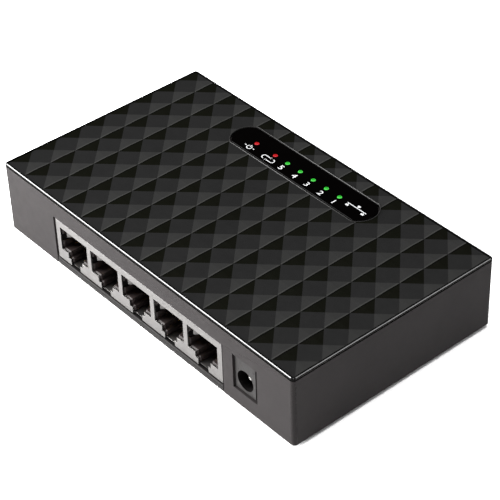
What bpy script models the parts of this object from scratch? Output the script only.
"""A five-port desktop network switch in a small plastic case.

Frame: +X along the row of sockets, -Y is the socket side, +Z up, origin on the table under the
middle of the case. Heights of the case's own features are counted from the case's lower edge,
which stands FOOT_DROP above the table. All sizes are in metres.
"""

import math

import bmesh
import bpy
from mathutils import Vector

# Case
LENGTH = 0.1230
WIDTH = 0.0704
CASE_HEIGHT = 0.0226
FOOT_DROP = 0.0013
WALL = 0.0018
CORNER_RADIUS = 0.0011
EDGE_BREAK = ((0.0, 0.00034), (0.00004, 0.00026), (0.00032, 0.00004), (0.00040, 0.0))
SEAM = (0.00100, 0.00056, 0.00030)  # bottom and top below the rim, depth
GAP = 0.0003  # clearance kept between pieces that touch
JOIN = 0.0005  # how far joined bodies reach into each other
BEYOND = 0.001  # how far a cutter reaches past the face it opens

# Levels above the case's lower edge
RIM_TOP = CASE_HEIGHT
RECESS_FLOOR = CASE_HEIGHT - 0.00115
CEILING = RECESS_FLOOR - 0.0016
BOARD_BOTTOM = 0.01605
BOARD_TOP = BOARD_BOTTOM + 0.0016
PARTS_TOP = BOARD_BOTTOM - GAP
COVER_TOP = 0.0016

# Bottom cover, its lip below the sockets and its vent slots
COVER_GAP = 0.00035
LIP_TOP = 0.0021
LIP_BLADE = 0.0006  # height of its thin upper edge
LIP_BLADE_THICKNESS = 0.00035
LIP_THICKNESS = WALL - 0.0004
LIP_CHAMFER = 0.00012
LIP_GROOVE = 0.00018
LIP_GROOVE_Z = 0.0013
VENT_ROW_Y = 0.0105
VENTS_PER_ROW = 9
VENT_PITCH = 0.0052
VENT_WIDTH = 0.0012
VENT_LENGTH = 0.0130

# Patterned top panel
RIM_WIDTH = 0.00055
GROOVE = 0.00035
PANEL_BASE = CASE_HEIGHT - 0.00025
RELIEF = 0.00018
STRIPS = 14
CELL = LENGTH / STRIPS
FIRST_STUD_FROM_BACK = 0.0038

# Indicator window and its light pipes
WINDOW_X = -0.0006
WINDOW_Y = 0.0238
WINDOW_HALF_LENGTH = 0.0279
WINDOW_HALF_HEIGHT = 0.0048
WINDOW_END_RADIUS = 0.0055
BEAD = 0.00040
PIPE_RADIUS = 0.00066
PIPE_Y = 0.0237
PORT_PIPE_FIRST_X = -0.0069
PORT_PIPE_PITCH = 0.00536
POWER_PIPE_X = -0.0201
LOOP_PIPE_X = -0.0121

# Socket gang
PORTS = 5
PORT_PITCH = 0.01397
GANG_X = -0.00225
GANG_WIDTH = 0.0718
GANG_BOTTOM = 0.00245
GANG_DEPTH = 0.0160
GANG_FRONT = -WIDTH / 2 + 0.0003
SHEET = 0.0003
HOUSING_FRONT = GANG_FRONT + SHEET + GAP
MOUTH_HALF_WIDTH = 0.00615
MOUTH_TOP = 0.01356
MOUTH_FLOOR = 0.00606
STEP_HALF_WIDTH = 0.0032
STEP_FLOOR = 0.0044
SLOT_HALF_WIDTH = 0.0021
CAVITY_SHRINK = 0.00025
CAVITY_DEPTH = 0.0125
MOUTH_CHAMFER = 0.00035
TONGUE = (0.0088, 0.0106, 0.00017)  # bottom, top, thickness
TONGUE_SLOT_DEPTH = 0.0052
TONGUE_SLOT_REACH = 0.0006
POCKET_FRONT = HOUSING_FRONT + 0.0022
POCKET_REAR = HOUSING_FRONT + 0.0115
POCKET_HALF_WIDTH = 0.0048
CONTACTS = 8
CONTACT_PITCH = 0.00102
CONTACT_THICKNESS = 0.0003
CONTACT_HALF_WIDTH = 0.00022

# Wall openings on the socket side
GANG_CUT_LEFT = -0.0387
GANG_CUT_RIGHT = 0.0343
GANG_CUT_TOP = 0.0162
JACK_CUT = (0.03822, 0.04770, 0.00471, 0.01592)  # left, right, bottom, top

# Power jack
JACK_X = 0.0425
JACK_BORE_Z = 0.0090
JACK_BORE_RADIUS = 0.0031
JACK_FRONT = -WIDTH / 2 + 0.0006
JACK_BACK = JACK_FRONT + 0.0140
JACK_BODY_HALF_WIDTH = 0.0045
JACK_BODY_BOTTOM = 0.0049
JACK_BORE_DEPTH = 0.0105
JACK_PIN_RADIUS = 0.00105
JACK_PIN_FRONT = JACK_FRONT + 0.0016
LEAF_SLOT_BOTTOM = JACK_BORE_Z - JACK_BORE_RADIUS - 0.0006
LEAF_SLOT_HALF_WIDTH = 0.0012
LEAF_HALF_WIDTH = 0.0009

# Screws and posts
POST_X = 0.0550
POST_Y = 0.0287
POST_RADIUS = 0.0032
COVER_SHANK = 0.0011
COVER_SHANK_LENGTH = 0.0080
BOARD_SHANK = 0.0010
BOARD_SHANK_LENGTH = 0.0045
BOARD_BOSS_RADIUS = 0.0026
BOARD_SCREWS = ((-0.0475, -0.0215), (0.0525, -0.0190), (-0.0470, 0.0245), (0.0470, 0.0245))
HEAD_RADIUS = 0.0022
HEAD_HEIGHT = 0.0010

# Circuit board and the light-emitting diodes on it
BOARD_HALF_LENGTH = 0.0575
BOARD_HALF_WIDTH = 0.0325
DIODE_LENGTH = 0.0020
DIODE_WIDTH = 0.0012
DIODE_HEIGHT = 0.0007

# Feet
FOOT_X = 0.0450
FOOT_Y = 0.0255
FOOT_RADIUS = 0.0040
FOOT_RECESS = 0.0005

PIPES = {
    "power": POWER_PIPE_X,
    "loop": LOOP_PIPE_X,
    "port_5": PORT_PIPE_FIRST_X,
    "port_4": PORT_PIPE_FIRST_X + PORT_PIPE_PITCH,
    "port_3": PORT_PIPE_FIRST_X + 2 * PORT_PIPE_PITCH,
    "port_2": PORT_PIPE_FIRST_X + 3 * PORT_PIPE_PITCH,
    "port_1": PORT_PIPE_FIRST_X + 4 * PORT_PIPE_PITCH,
}


# --- Outlines: lists of (u, v) points -------------------------------------------------------


def rectangle(left, right, low, high):
    return [(left, low), (right, low), (right, high), (left, high)]


def rounded_rectangle(length, width, radius, steps=5):
    """A rectangle about the origin whose corners are arcs of the given number of steps."""
    points = []
    for quarter, (sx, sy) in enumerate(((1, 1), (-1, 1), (-1, -1), (1, -1))):
        cx = sx * (length / 2 - radius)
        cy = sy * (width / 2 - radius)
        for step in range(steps + 1):
            angle = math.radians(90 * (quarter + step / steps))
            points.append((cx + radius * math.cos(angle), cy + radius * math.sin(angle)))
    return points


def circle(cx, cy, radius, sides=16):
    angles = [2 * math.pi * side / sides for side in range(sides)]
    return [(cx + radius * math.cos(a), cy + radius * math.sin(a)) for a in angles]


def rounded_slot(x, y, width, length, steps=3):
    """A slot along Y with round ends."""
    radius = width / 2
    points = []
    for side in (1, -1):
        for step in range(steps + 1):
            angle = math.pi * step / steps
            u = x + side * radius * math.cos(angle)
            points.append((u, y + side * (length / 2 - radius + radius * math.sin(angle))))
    return points


def window_outline(grow, steps=12):
    """The long indicator window, with an arc at each end, grown outwards by a distance."""
    radius = WINDOW_END_RADIUS + grow
    half_angle = math.asin((WINDOW_HALF_HEIGHT + grow) / radius)
    arc_x = WINDOW_HALF_LENGTH - WINDOW_END_RADIUS
    points = []
    for side in (1, -1):
        for step in range(steps + 1):
            angle = half_angle * (2 * step / steps - 1)
            points.append(
                (
                    WINDOW_X + side * (arc_x + radius * math.cos(angle)),
                    WINDOW_Y + side * radius * math.sin(angle),
                )
            )
    return points


def port_outline(x, grow, slot_bottom):
    """A socket mouth seen from the front: a wide opening, a step, and the latch slot below."""
    wide = MOUTH_HALF_WIDTH + grow
    step = STEP_HALF_WIDTH + grow
    slot = SLOT_HALF_WIDTH + grow
    top = FOOT_DROP + MOUTH_TOP + grow
    floor = FOOT_DROP + MOUTH_FLOOR - grow
    step_floor = FOOT_DROP + STEP_FLOOR - grow
    right = [(slot, slot_bottom), (slot, step_floor), (step, step_floor), (step, floor), (wide, floor)]
    right.append((wide, top))
    left = [(-u, v) for u, v in reversed(right)]
    return [(x + u, v) for u, v in right + left]


def strip_outline(path, thickness):
    """The outline of a bent strip: a path widened by half its thickness on each side."""
    left = []
    right = []
    for i, (u, v) in enumerate(path):
        before = path[max(i - 1, 0)]
        after = path[min(i + 1, len(path) - 1)]
        into = Vector((u - before[0], v - before[1])).normalized()
        out = Vector((after[0] - u, after[1] - v)).normalized()
        along = (into + out).normalized()
        leading = into if into.length else out
        reach = thickness / 2 / max(along.dot(leading), 0.3)
        left.append((u - along.y * reach, v + along.x * reach))
        right.append((u + along.y * reach, v - along.x * reach))
    return left + right[::-1]


# --- Solids ----------------------------------------------------------------------------------


def ring(outline, height, axis="Z"):
    """An outline's 3-D points at one place along an axis."""
    if axis == "X":
        return [Vector((height, u, v)) for u, v in outline]
    if axis == "Y":
        return [Vector((u, height, v)) for u, v in outline]
    return [Vector((u, v, height)) for u, v in outline]


def add_loft(bm, rings, closed=False):
    """Adds one closed body: rings of equally many points, capped or joined last to first."""
    layers = [[bm.verts.new(point) for point in points] for points in rings]
    count = len(layers[0])
    above = layers[1:] + layers[:1] if closed else layers[1:]
    for lower, upper in zip(layers, above):
        for i in range(count):
            j = (i + 1) % count
            bm.faces.new((lower[i], lower[j], upper[j], upper[i]))
    if not closed:
        bm.faces.new(layers[0])
        bm.faces.new(layers[-1])


def add_prism(bm, outline, start, end, axis="Z"):
    add_loft(bm, [ring(outline, start, axis), ring(outline, end, axis)])


def add_box(bm, x0, x1, y0, y1, z0, z1):
    add_prism(bm, rectangle(x0, x1, y0, y1), z0, z1)


def add_turned(bm, x, y, profile, sides):
    """Adds a body turned about a vertical axis from (radius, height) points."""
    add_loft(bm, [ring(circle(x, y, radius, sides), height) for radius, height in profile])


def make_object(name, bm, surface=None):
    """Turns the working mesh into a named object with its faces pointing out."""
    bmesh.ops.recalc_face_normals(bm, faces=bm.faces)
    mesh = bpy.data.meshes.new(name)
    bm.to_mesh(mesh)
    bm.free()
    mesh.shade_smooth()
    mesh.set_sharp_from_angle(angle=math.radians(35))
    if surface:
        mesh.materials.append(surface)
    obj = bpy.data.objects.new(name, mesh)
    bpy.context.scene.collection.objects.link(obj)
    return obj


def make_tool(name, bm):
    """A helper body that only shapes others and isn't part of the model."""
    tool = make_object(name, bm)
    tool.hide_render = True
    tool.display_type = "WIRE"
    return tool


def apply_tool(target, operation, tool):
    modifier = target.modifiers.new(tool.name, "BOOLEAN")
    modifier.operation = operation
    modifier.solver = "EXACT"
    modifier.object = tool


def combine(target, operation, name, bm):
    """Cuts the working mesh out of the target, or joins it on, with an exact Boolean."""
    apply_tool(target, operation, make_tool(name, bm))


def bevel(obj, width, segments=1):
    modifier = obj.modifiers.new("edge_break", "BEVEL")
    modifier.width = width
    modifier.segments = segments
    modifier.limit_method = "ANGLE"
    modifier.angle_limit = math.radians(40)


def level(height):
    """A height above the case's lower edge, as a height above the table."""
    return FOOT_DROP + height


def corners(x, y):
    """The four places at plus and minus x and y, by name."""
    return {
        "front_left": (-x, -y),
        "front_right": (x, -y),
        "rear_left": (-x, y),
        "rear_right": (x, y),
    }


def port_x(port):
    """The middle of a socket, counted from 1 at the -X end."""
    return GANG_X + (port - (PORTS + 1) / 2) * PORT_PITCH


# --- Materials -------------------------------------------------------------------------------


def surface(name, colour, roughness, metallic=0.0, glow=0.0):
    made = bpy.data.materials.new(name)
    made.use_nodes = True
    shader = made.node_tree.nodes["Principled BSDF"]
    shader.inputs["Base Color"].default_value = (*colour, 1.0)
    shader.inputs["Roughness"].default_value = roughness
    shader.inputs["Metallic"].default_value = metallic
    if glow:
        shader.inputs["Emission Color"].default_value = (*colour, 1.0)
        shader.inputs["Emission Strength"].default_value = glow
    return made


def make_surfaces():
    return {
        "case": surface("case_plastic", (0.130, 0.124, 0.122), 0.42),
        "cover": surface("cover_plastic", (0.120, 0.115, 0.113), 0.50),
        "panel": surface("panel_plastic", (0.026, 0.026, 0.025), 0.38),
        "window": surface("window_acrylic", (0.003, 0.003, 0.003), 0.08),
        "red": surface("red_light", (0.72, 0.02, 0.03), 0.25, 0.0, 1.0),
        "green": surface("green_light", (0.08, 0.72, 0.09), 0.25, 0.0, 1.0),
        "rubber": surface("foot_rubber", (0.018, 0.018, 0.018), 0.85),
        "screw": surface("screw_steel", (0.42, 0.42, 0.43), 0.30, 1.0),
        "shield": surface("shield_steel", (0.62, 0.61, 0.60), 0.32, 1.0),
        "housing": surface("housing_plastic", (0.012, 0.012, 0.012), 0.40),
        "contact": surface("contact_gold", (0.78, 0.55, 0.20), 0.25, 1.0),
        "jack": surface("jack_plastic", (0.115, 0.112, 0.110), 0.50),
        "pin": surface("pin_nickel", (0.66, 0.65, 0.62), 0.22, 1.0),
        "board": surface("board_green", (0.015, 0.090, 0.040), 0.45),
        "chip": surface("chip_epoxy", (0.015, 0.015, 0.016), 0.60),
        "magnetics": surface("magnetics_plastic", (0.020, 0.020, 0.021), 0.50),
        "can": surface("can_aluminium", (0.60, 0.60, 0.61), 0.35, 1.0),
        "ferrite": surface("ferrite_grey", (0.060, 0.060, 0.064), 0.70),
        "led": surface("led_package", (0.80, 0.78, 0.70), 0.40),
    }


# --- Case ------------------------------------------------------------------------------------


def make_top_shell(surfaces):
    """Walls, rim and top plate in one moulding, open below, with posts for the screws."""
    bm = bmesh.new()
    levels = [(0.0, level(0.0))]
    levels += [(inset, level(RIM_TOP) - drop) for inset, drop in EDGE_BREAK]
    rings = []
    for inset, height in levels:
        outline = rounded_rectangle(LENGTH - 2 * inset, WIDTH - 2 * inset, CORNER_RADIUS - inset)
        rings.append(ring(outline, height))
    add_loft(bm, rings)
    shell = make_object("top_shell", bm, surfaces["case"])

    bottom, top, depth = SEAM
    outside = rounded_rectangle(LENGTH + 2 * BEYOND, WIDTH + 2 * BEYOND, CORNER_RADIUS + BEYOND)
    inside = rounded_rectangle(LENGTH - 2 * depth, WIDTH - 2 * depth, CORNER_RADIUS - depth)
    low = level(RIM_TOP - bottom)
    high = level(RIM_TOP - top)
    bm = bmesh.new()
    rings = [ring(outside, low), ring(outside, high), ring(inside, high), ring(inside, low)]
    add_loft(bm, rings, closed=True)
    combine(shell, "DIFFERENCE", "seam", bm)

    bm = bmesh.new()
    inner = rounded_rectangle(LENGTH - 2 * WALL, WIDTH - 2 * WALL, CORNER_RADIUS / 2, 2)
    add_prism(bm, inner, level(-BEYOND), level(CEILING))
    combine(shell, "DIFFERENCE", "case_cavity", bm)

    bm = bmesh.new()
    for x, y in corners(POST_X, POST_Y).values():
        add_prism(bm, circle(x, y, POST_RADIUS, 20), level(COVER_TOP + GAP), level(CEILING + JOIN))
    for x, y in BOARD_SCREWS:
        bottom = level(BOARD_TOP + GAP)
        add_prism(bm, circle(x, y, BOARD_BOSS_RADIUS, 16), bottom, level(CEILING + JOIN))
    combine(shell, "UNION", "shell_posts", bm)

    bm = bmesh.new()
    recess_x = LENGTH / 2 - RIM_WIDTH
    recess_y = WIDTH / 2 - RIM_WIDTH
    top = level(RIM_TOP + BEYOND)
    add_box(bm, -recess_x, recess_x, -recess_y, recess_y, level(RECESS_FLOOR), top)
    combine(shell, "DIFFERENCE", "panel_recess", bm)

    bm = bmesh.new()
    for x, y in corners(POST_X, POST_Y).values():
        hole_top = level(COVER_TOP + COVER_SHANK_LENGTH + 2 * GAP)
        add_prism(bm, circle(x, y, COVER_SHANK + GAP, 12), level(COVER_TOP - GAP), hole_top)
    for x, y in BOARD_SCREWS:
        hole_top = level(BOARD_BOTTOM + BOARD_SHANK_LENGTH + GAP)
        add_prism(bm, circle(x, y, BOARD_SHANK + GAP, 12), level(BOARD_TOP - GAP), hole_top)
    for x in PIPES.values():
        hole = circle(x, PIPE_Y, PIPE_RADIUS + GAP, 12)
        add_prism(bm, hole, level(CEILING - BEYOND), level(RECESS_FLOOR + BEYOND))
    combine(shell, "DIFFERENCE", "shell_holes", bm)

    bm = bmesh.new()
    outside = -WIDTH / 2 - BEYOND
    inside = -WIDTH / 2 + WALL + JOIN
    add_box(bm, GANG_CUT_LEFT, GANG_CUT_RIGHT, outside, inside, level(-BEYOND), level(GANG_CUT_TOP))
    left, right, bottom, top = JACK_CUT
    add_box(bm, left, right, outside, inside, level(bottom), level(top))
    combine(shell, "DIFFERENCE", "wall_openings", bm)


def make_top_panel(surfaces):
    """The thin top panel: rows of low pyramid studs along Y, with flat diamonds between them."""
    half = CELL / 2
    base = level(PANEL_BASE)
    bottom = level(RECESS_FLOOR + GAP)
    bm = bmesh.new()
    points = {}

    def point(column, row, height=0.0):
        """A lattice point; columns and rows count half cells from the middle stud's column."""
        key = (column, row)
        if key not in points:
            y = WIDTH / 2 - FIRST_STUD_FROM_BACK - row * half
            points[key] = bm.verts.new((column * half, y, base + height))
        return points[key]

    columns = STRIPS + 1
    rows = 2 * int(WIDTH / CELL) + 3
    for column in range(-columns, columns + 1):
        for row in range(-3, rows + 1):
            if (column + row) % 2:
                continue
            west = point(column - 1, row)
            east = point(column + 1, row)
            north = point(column, row - 1)
            south = point(column, row + 1)
            if column % 2:
                bm.faces.new((south, east, north, west))
                continue
            peak = point(column, row, RELIEF)
            for first, second in ((south, east), (east, north), (north, west), (west, south)):
                bm.faces.new((first, second, peak))
    sheet = list(bm.faces)
    sides = bmesh.ops.extrude_face_region(bm, geom=sheet)
    for item in sides["geom"]:
        if isinstance(item, bmesh.types.BMVert):
            item.co.z = bottom
    panel = make_object("patterned_top_panel", bm, surfaces["panel"])

    bm = bmesh.new()
    edge = RIM_WIDTH + GROOVE
    half_x = LENGTH / 2 - edge
    half_y = WIDTH / 2 - edge
    add_box(bm, -half_x, half_x, -half_y, half_y, bottom - BEYOND, base + BEYOND)
    combine(panel, "INTERSECT", "panel_edge", bm)

    bm = bmesh.new()
    bead_top = base + RELIEF
    rings = [
        ring(window_outline(GAP + BEAD), base - 0.0002),
        ring(window_outline(GAP + BEAD), base + 0.00006),
        ring(window_outline(GAP + BEAD - 0.00012), bead_top),
    ]
    add_loft(bm, rings)
    combine(panel, "UNION", "window_bead", bm)

    bm = bmesh.new()
    rings = [
        ring(window_outline(GAP), bottom - BEYOND),
        ring(window_outline(GAP), bead_top - BEAD / 4),
        ring(window_outline(GAP + BEAD / 4), bead_top),
        ring(window_outline(GAP + BEAD / 4), bead_top + BEYOND),
    ]
    add_loft(bm, rings)
    combine(panel, "DIFFERENCE", "window_opening", bm)


def make_indicator_window(surfaces):
    """The smoked window plate in the panel, pierced for the light pipes."""
    top = level(PANEL_BASE + 0.00005)
    edge = 0.00012
    bm = bmesh.new()
    rings = [
        ring(window_outline(0.0), level(RECESS_FLOOR + GAP)),
        ring(window_outline(0.0), top - edge),
        ring(window_outline(-edge), top),
    ]
    add_loft(bm, rings)
    window = make_object("indicator_window", bm, surfaces["window"])
    bm = bmesh.new()
    for x in PIPES.values():
        hole = circle(x, PIPE_Y, PIPE_RADIUS + GAP, 12)
        add_prism(bm, hole, level(RECESS_FLOOR - BEYOND), top + BEYOND)
    combine(window, "DIFFERENCE", "pipe_holes", bm)


def make_light_pipes(surfaces):
    """One clear post above each light-emitting diode, with a collar under the top plate."""
    tip = level(PANEL_BASE + 0.0001)
    collar_top = level(CEILING - GAP)
    foot = level(BOARD_TOP + GAP + DIODE_HEIGHT + GAP)
    for place, x in PIPES.items():
        tint = "red" if place in ("power", "loop") else "green"
        bm = bmesh.new()
        profile = [
            (PIPE_RADIUS * 1.7, foot),
            (PIPE_RADIUS * 1.7, collar_top),
            (PIPE_RADIUS, collar_top),
            (PIPE_RADIUS, tip - 0.00018),
            (PIPE_RADIUS * 0.62, tip),
        ]
        add_turned(bm, 0.0, 0.0, profile, 12)
        pipe = make_object(f"light_pipe_{place}", bm, surfaces[tint])
        pipe.location = (x, PIPE_Y, 0.0)


def make_bottom_cover(surfaces):
    """The flat cover inside the walls, recessed for screws and feet, with two rows of vents."""
    inset = WALL + COVER_GAP
    bm = bmesh.new()
    plate = rounded_rectangle(LENGTH - 2 * inset, WIDTH - 2 * inset, CORNER_RADIUS / 2, 2)
    add_prism(bm, plate, level(0.0), level(COVER_TOP))
    cover = make_object("bottom_cover", bm, surfaces["cover"])
    combine(cover, "UNION", "cover_lip", lip_body())

    bm = bmesh.new()
    seat = level(HEAD_HEIGHT + 0.0001)
    stepped_hole = [
        (HEAD_RADIUS + GAP, level(-BEYOND)),
        (HEAD_RADIUS + GAP, seat),
        (COVER_SHANK + GAP, seat),
        (COVER_SHANK + GAP, level(COVER_TOP + BEYOND)),
    ]
    for x, y in corners(POST_X, POST_Y).values():
        add_turned(bm, x, y, stepped_hole, 16)
    for x, y in corners(FOOT_X, FOOT_Y).values():
        add_prism(bm, circle(x, y, FOOT_RADIUS + GAP, 20), level(-BEYOND), level(FOOT_RECESS))
    combine(cover, "DIFFERENCE", "cover_recesses", bm)

    bm = bmesh.new()
    for row_y in (-VENT_ROW_Y, VENT_ROW_Y):
        for slot in range(VENTS_PER_ROW):
            x = (slot - (VENTS_PER_ROW - 1) / 2) * VENT_PITCH
            outline = rounded_slot(x, row_y, VENT_WIDTH, VENT_LENGTH)
            add_prism(bm, outline, level(-BEYOND), level(COVER_TOP + BEYOND))
    combine(cover, "DIFFERENCE", "vent_slots", bm)


def lip_body():
    """The strip that closes the wall below the sockets, with a web reaching into the cover."""
    front = -WIDTH / 2
    back = front + LIP_THICKNESS
    web_end = back + 0.0012
    web_low = level(0.0003)
    web_high = level(COVER_TOP - 0.0002)
    groove = level(LIP_GROOVE_Z)
    profile = [
        (front, level(LIP_CHAMFER)),
        (front + LIP_CHAMFER, level(0.0)),
        (back, level(0.0)),
        (back, web_low),
        (web_end, web_low),
        (web_end, web_high),
        (back, web_high),
        (back, level(LIP_TOP - LIP_BLADE)),
        (front + LIP_BLADE_THICKNESS, level(LIP_TOP - LIP_BLADE)),
        (front + LIP_BLADE_THICKNESS, level(LIP_TOP)),
        (front + LIP_CHAMFER, level(LIP_TOP)),
        (front, level(LIP_TOP) - LIP_CHAMFER),
        (front, groove + LIP_GROOVE),
        (front + LIP_GROOVE, groove + LIP_GROOVE / 2),
        (front + LIP_GROOVE, groove - LIP_GROOVE / 2),
        (front, groove - LIP_GROOVE),
    ]
    bm = bmesh.new()
    add_prism(bm, profile, GANG_CUT_LEFT + COVER_GAP, GANG_CUT_RIGHT - COVER_GAP, "X")
    return bm


def make_feet(surfaces):
    for place, (x, y) in corners(FOOT_X, FOOT_Y).items():
        bm = bmesh.new()
        profile = [
            (FOOT_RADIUS - 0.0007, 0.0),
            (FOOT_RADIUS - 0.0002, 0.0003),
            (FOOT_RADIUS, 0.0009),
            (FOOT_RADIUS, FOOT_DROP + FOOT_RECESS - GAP),
        ]
        add_turned(bm, 0.0, 0.0, profile, 20)
        foot = make_object(f"rubber_foot_{place}", bm, surfaces["rubber"])
        foot.location = (x, y, 0.0)


def make_screws(surfaces, names_and_places, head_bottom, head_top, shank_radius, shank_length):
    """Self-tapping screws, head down, each with a cross recess in its head."""
    arm = HEAD_RADIUS * 0.62
    web = HEAD_RADIUS * 0.16
    depth = (head_top - head_bottom) * 0.55
    bm = bmesh.new()
    for x, y in names_and_places.values():
        cross = [
            (web, web), (web, arm), (-web, arm), (-web, web), (-arm, web), (-arm, -web),
            (-web, -web), (-web, -arm), (web, -arm), (web, -web), (arm, -web), (arm, web),
        ]
        outline = [(x + u, y + v) for u, v in cross]
        add_prism(bm, outline, head_bottom - BEYOND, head_bottom + depth)
    recess = make_tool(next(iter(names_and_places)) + "_recesses", bm)
    for name, (x, y) in names_and_places.items():
        bm = bmesh.new()
        profile = [
            (HEAD_RADIUS * 0.78, head_bottom),
            (HEAD_RADIUS, head_bottom + 0.0003),
            (HEAD_RADIUS, head_top),
            (shank_radius, head_top),
            (shank_radius, head_top + shank_length - 0.0008),
            (shank_radius * 0.3, head_top + shank_length),
        ]
        add_turned(bm, 0.0, 0.0, profile, 16)
        screw = make_object(name, bm, surfaces["screw"])
        screw.location = (x, y, 0.0)
        apply_tool(screw, "DIFFERENCE", recess)


def make_cover_screws(surfaces):
    places = {f"cover_screw_{place}": at for place, at in corners(POST_X, POST_Y).items()}
    head_top = level(HEAD_HEIGHT - 0.0002)
    head_bottom = level(0.0001)
    make_screws(surfaces, places, head_bottom, head_top, COVER_SHANK, COVER_SHANK_LENGTH)


def make_board_screws(surfaces):
    places = {f"board_screw_{number + 1}": at for number, at in enumerate(BOARD_SCREWS)}
    head_top = level(PARTS_TOP)
    head_bottom = head_top - 0.0012
    make_screws(surfaces, places, head_bottom, head_top, BOARD_SHANK, BOARD_SHANK_LENGTH)


# --- Socket gang -----------------------------------------------------------------------------


def tongue_outline(edge, side):
    """A spring tongue seen from above: it runs in behind a mouth's edge, then bows into the socket."""
    bends = [
        (0.00045, 0.00010),
        (0.00022, 0.0005),
        (0.00010, 0.0021),
        (-0.00085, 0.0033),
        (-0.00115, 0.0040),
        (-0.00085, 0.0048),
    ]
    return strip_outline([(edge + side * u, GANG_FRONT + y) for u, y in bends], TONGUE[2])


def make_gang_shield(surfaces):
    """The folded sheet-metal can around the sockets, open towards the board above it."""
    left = GANG_X - GANG_WIDTH / 2
    right = GANG_X + GANG_WIDTH / 2
    back = GANG_FRONT + GANG_DEPTH
    bottom = level(GANG_BOTTOM)
    top = level(PARTS_TOP)
    bm = bmesh.new()
    add_box(bm, left, right, GANG_FRONT, back, bottom, top)
    shield = make_object("socket_gang_shield", bm, surfaces["shield"])

    bm = bmesh.new()
    inner_front = GANG_FRONT + SHEET
    open_top = top + BEYOND
    add_box(bm, left + SHEET, right - SHEET, inner_front, back - SHEET, bottom + SHEET, open_top)
    combine(shield, "DIFFERENCE", "shield_inside", bm)

    bm = bmesh.new()
    for port in range(1, PORTS + 1):
        outline = port_outline(port_x(port), 0.0, bottom - BEYOND)
        add_prism(bm, outline, GANG_FRONT - BEYOND, inner_front + GAP, "Y")
    combine(shield, "DIFFERENCE", "shield_mouths", bm)

    bm = bmesh.new()
    for port in range(1, PORTS + 1):
        for side in (-1, 1):
            outline = tongue_outline(port_x(port) + side * MOUTH_HALF_WIDTH, side)
            add_prism(bm, outline, level(TONGUE[0]), level(TONGUE[1]))
    combine(shield, "UNION", "shield_tongues", bm)


def make_gang_housing(surfaces):
    """The moulded block with the five socket cavities and a pocket above each for its contacts."""
    half = GANG_WIDTH / 2 - SHEET - GAP
    back = GANG_FRONT + GANG_DEPTH - SHEET - GAP
    bottom = level(GANG_BOTTOM) + SHEET + GAP
    top = level(PARTS_TOP)
    bm = bmesh.new()
    add_box(bm, GANG_X - half, GANG_X + half, HOUSING_FRONT, back, bottom, top)
    housing = make_object("socket_gang_housing", bm, surfaces["housing"])

    bm = bmesh.new()
    for port in range(1, PORTS + 1):
        x = port_x(port)
        shrink = -CAVITY_SHRINK
        flare = shrink + MOUTH_CHAMFER
        below = bottom - BEYOND
        rings = [
            ring(port_outline(x, flare, below), HOUSING_FRONT - BEYOND, "Y"),
            ring(port_outline(x, flare, below), HOUSING_FRONT, "Y"),
            ring(port_outline(x, shrink, below), HOUSING_FRONT + MOUTH_CHAMFER, "Y"),
            ring(port_outline(x, shrink, below), HOUSING_FRONT + CAVITY_DEPTH, "Y"),
        ]
        add_loft(bm, rings)
    combine(housing, "DIFFERENCE", "socket_cavities", bm)

    bm = bmesh.new()
    for port in range(1, PORTS + 1):
        x = port_x(port)
        left = x - POCKET_HALF_WIDTH
        right = x + POCKET_HALF_WIDTH
        low = level(MOUTH_TOP - BEYOND)
        add_box(bm, left, right, POCKET_FRONT, POCKET_REAR, low, top + BEYOND)
    combine(housing, "DIFFERENCE", "contact_pockets", bm)

    bm = bmesh.new()
    for port in range(1, PORTS + 1):
        for side in (-1, 1):
            edge = port_x(port) + side * MOUTH_HALF_WIDTH
            ends = sorted((edge - side * MOUTH_HALF_WIDTH / 4, edge + side * TONGUE_SLOT_REACH))
            low = level(TONGUE[0] - GAP)
            high = level(TONGUE[1] + GAP)
            rear = HOUSING_FRONT + TONGUE_SLOT_DEPTH
            add_box(bm, *ends, HOUSING_FRONT - BEYOND, rear, low, high)
    combine(housing, "DIFFERENCE", "tongue_slots", bm)


def make_contact_inserts(surfaces):
    """Each socket's carrier bar with its eight sprung contact wires, sloping back and down."""
    low = level(MOUTH_TOP + 0.0001)
    front = POCKET_FRONT + GAP
    rear = POCKET_REAR - GAP
    half = POCKET_HALF_WIDTH - GAP
    path = [
        (front + 0.0004, low + 0.0004),
        (front + 0.0004, low - 0.0005),
        (front + 0.0062, low - 0.0024),
        (front + 0.0072, low - 0.0022),
    ]
    wire = strip_outline(path, CONTACT_THICKNESS)
    for port in range(1, PORTS + 1):
        x = port_x(port)
        bm = bmesh.new()
        add_box(bm, x - half, x + half, front, rear, low, level(PARTS_TOP))
        insert = make_object(f"contact_insert_{port}", bm, surfaces["contact"])
        bm = bmesh.new()
        for number in range(CONTACTS):
            wire_x = x + (number - (CONTACTS - 1) / 2) * CONTACT_PITCH
            add_prism(bm, wire, wire_x - CONTACT_HALF_WIDTH, wire_x + CONTACT_HALF_WIDTH, "X")
        combine(insert, "UNION", f"contact_wires_{port}", bm)


# --- Power jack ------------------------------------------------------------------------------


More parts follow.
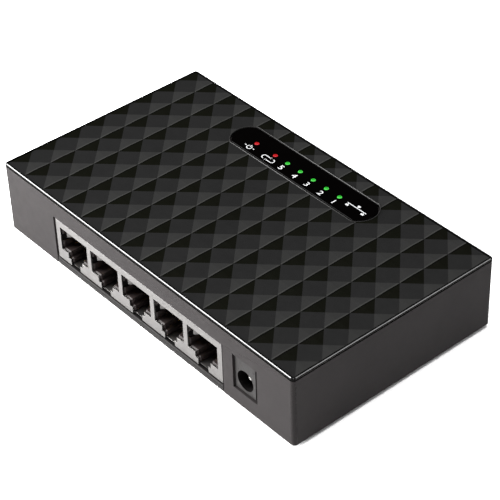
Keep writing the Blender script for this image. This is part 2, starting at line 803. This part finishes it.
def make_power_jack(surfaces):
    """The moulded jack: a body behind the wall, a collar in its opening and the plug's bore."""
    wall_inside = -WIDTH / 2 + WALL
    centre_z = level(JACK_BORE_Z)
    low = level(JACK_BODY_BOTTOM)
    half = JACK_BODY_HALF_WIDTH
    bm = bmesh.new()
    add_box(bm, JACK_X - half, JACK_X + half, wall_inside + GAP, JACK_BACK, low, level(PARTS_TOP))
    body = make_object("power_jack_body", bm, surfaces["jack"])

    left, right, bottom, top = JACK_CUT
    bm = bmesh.new()
    collar = rectangle(left + GAP, JACK_X + 0.0040, level(bottom) + GAP, level(top) - GAP)
    add_prism(bm, collar, JACK_FRONT, wall_inside + BEYOND, "Y")
    combine(body, "UNION", "jack_collar", bm)

    bm = bmesh.new()
    bore = circle(JACK_X, centre_z, JACK_BORE_RADIUS, 28)
    pin_hole = circle(JACK_X, centre_z, JACK_PIN_RADIUS + GAP, 28)
    bore_end = JACK_FRONT + JACK_BORE_DEPTH
    rings = [
        ring(bore, JACK_FRONT - BEYOND, "Y"),
        ring(bore, bore_end, "Y"),
        ring(pin_hole, bore_end, "Y"),
        ring(pin_hole, JACK_BACK + BEYOND, "Y"),
    ]
    add_loft(bm, rings)
    combine(body, "DIFFERENCE", "jack_bore", bm)

    bm = bmesh.new()
    slot = rectangle(
        JACK_X - LEAF_SLOT_HALF_WIDTH,
        JACK_X + LEAF_SLOT_HALF_WIDTH,
        level(LEAF_SLOT_BOTTOM),
        centre_z - 2 * JACK_PIN_RADIUS,
    )
    add_prism(bm, slot, JACK_FRONT + 0.0030, JACK_BACK + BEYOND, "Y")
    combine(body, "DIFFERENCE", "leaf_slot", bm)


def make_jack_contacts(surfaces):
    """The inlet's centre pin and the leaf spring below the plug's path."""
    profile = ((0.55, 0.0), (0.9, 0.0002), (1.0, 0.0006), (1.0, JACK_BACK - JACK_PIN_FRONT - 0.0005))
    rings = []
    for share, y in profile:
        outline = circle(JACK_X, level(JACK_BORE_Z), JACK_PIN_RADIUS * share, 16)
        rings.append(ring(outline, JACK_PIN_FRONT + y, "Y"))
    bm = bmesh.new()
    add_loft(bm, rings)
    make_object("power_jack_pin", bm, surfaces["pin"])

    start = JACK_FRONT + 0.0034
    low = level(LEAF_SLOT_BOTTOM) + GAP
    path = [
        (start, low + 0.0001),
        (start + 0.0030, low + 0.0012),
        (start + 0.0050, low + 0.0003),
        (JACK_BACK, low + 0.0001),
    ]
    bm = bmesh.new()
    leaf = strip_outline(path, 0.0002)
    add_prism(bm, leaf, JACK_X - LEAF_HALF_WIDTH, JACK_X + LEAF_HALF_WIDTH, "X")
    make_object("power_jack_spring", bm, surfaces["pin"])


# --- Circuit board and what it carries -------------------------------------------------------


def make_board(surfaces):
    """The circuit board hung under the top plate, notched at its corners for the posts."""
    notch_x = POST_X - POST_RADIUS - JOIN
    notch_y = POST_Y - POST_RADIUS - JOIN
    outline = [
        (notch_x, -BOARD_HALF_WIDTH),
        (notch_x, -notch_y),
        (BOARD_HALF_LENGTH, -notch_y),
        (BOARD_HALF_LENGTH, notch_y),
        (notch_x, notch_y),
        (notch_x, BOARD_HALF_WIDTH),
    ]
    outline += [(-x, y) for x, y in reversed(outline)]
    bm = bmesh.new()
    add_prism(bm, outline, level(BOARD_BOTTOM), level(BOARD_TOP))
    board = make_object("main_board", bm, surfaces["board"])
    bm = bmesh.new()
    for x, y in BOARD_SCREWS:
        hole = circle(x, y, BOARD_SHANK + GAP, 12)
        add_prism(bm, hole, level(BOARD_BOTTOM - BEYOND), level(BOARD_TOP + BEYOND))
    combine(board, "DIFFERENCE", "board_holes", bm)


def make_block(name, surface_of, place, size, edge):
    """A component body hanging under the board, with its edges broken."""
    length, width, height = size
    bm = bmesh.new()
    add_box(bm, -length / 2, length / 2, -width / 2, width / 2, -height, 0.0)
    block = make_object(name, bm, surface_of)
    block.location = (*place, level(PARTS_TOP))
    bevel(block, edge)


def make_blocks(surfaces):
    """Chips, magnetics and the inductor: rectangular bodies of given place, size and edge."""
    chip = surfaces["chip"]
    make_block("switch_chip", chip, (0.0, 0.0085), (0.0140, 0.0140, 0.0011), 0.00015)
    make_block("memory_chip", chip, (0.0150, 0.0100), (0.0050, 0.0040, 0.0015), 0.0001)
    make_block("voltage_regulator", chip, (0.0385, 0.0040), (0.0065, 0.0062, 0.0016), 0.0001)
    inductor = (0.0070, 0.0070, 0.0040)
    make_block("power_inductor", surfaces["ferrite"], (0.0480, 0.0035), inductor, 0.0006)
    for port in range(1, PORTS + 1):
        place = (port_x(port), -0.0115)
        size = (0.0126, 0.0095, 0.0058)
        make_block(f"magnetics_{port}", surfaces["magnetics"], place, size, 0.0003)


def make_cans(surfaces):
    """The crystal and the two capacitors, in metal cans."""
    bm = bmesh.new()
    add_prism(bm, rounded_rectangle(0.0112, 0.0046, 0.0022, 5), -0.0034, 0.0)
    crystal = make_object("crystal", bm, surfaces["can"])
    crystal.location = (-0.0170, 0.0085, level(PARTS_TOP))
    profile = [
        (0.00280, -0.0077),
        (0.00315, -0.0074),
        (0.00315, -0.0012),
        (0.00290, -0.0009),
        (0.00315, -0.0006),
        (0.00315, 0.0),
    ]
    for number, x in enumerate((0.0400, 0.0490), start=1):
        bm = bmesh.new()
        add_turned(bm, 0.0, 0.0, profile, 16)
        capacitor = make_object(f"capacitor_{number}", bm, surfaces["can"])
        capacitor.location = (x, -0.0135, level(PARTS_TOP))


def make_diodes(surfaces):
    for place, x in PIPES.items():
        half_x = DIODE_LENGTH / 2
        half_y = DIODE_WIDTH / 2
        bm = bmesh.new()
        add_box(bm, -half_x, half_x, -half_y, half_y, 0.0, DIODE_HEIGHT)
        diode = make_object(f"led_{place}", bm, surfaces["led"])
        diode.location = (x, PIPE_Y, level(BOARD_TOP + GAP))


def main():
    for obj in list(bpy.data.objects):
        bpy.data.objects.remove(obj, do_unlink=True)
    surfaces = make_surfaces()
    make_top_shell(surfaces)
    make_top_panel(surfaces)
    make_indicator_window(surfaces)
    make_light_pipes(surfaces)
    make_bottom_cover(surfaces)
    make_feet(surfaces)
    make_cover_screws(surfaces)
    make_gang_shield(surfaces)
    make_gang_housing(surfaces)
    make_contact_inserts(surfaces)
    make_power_jack(surfaces)
    make_jack_contacts(surfaces)
    make_board(surfaces)
    make_board_screws(surfaces)
    make_blocks(surfaces)
    make_cans(surfaces)
    make_diodes(surfaces)


main()
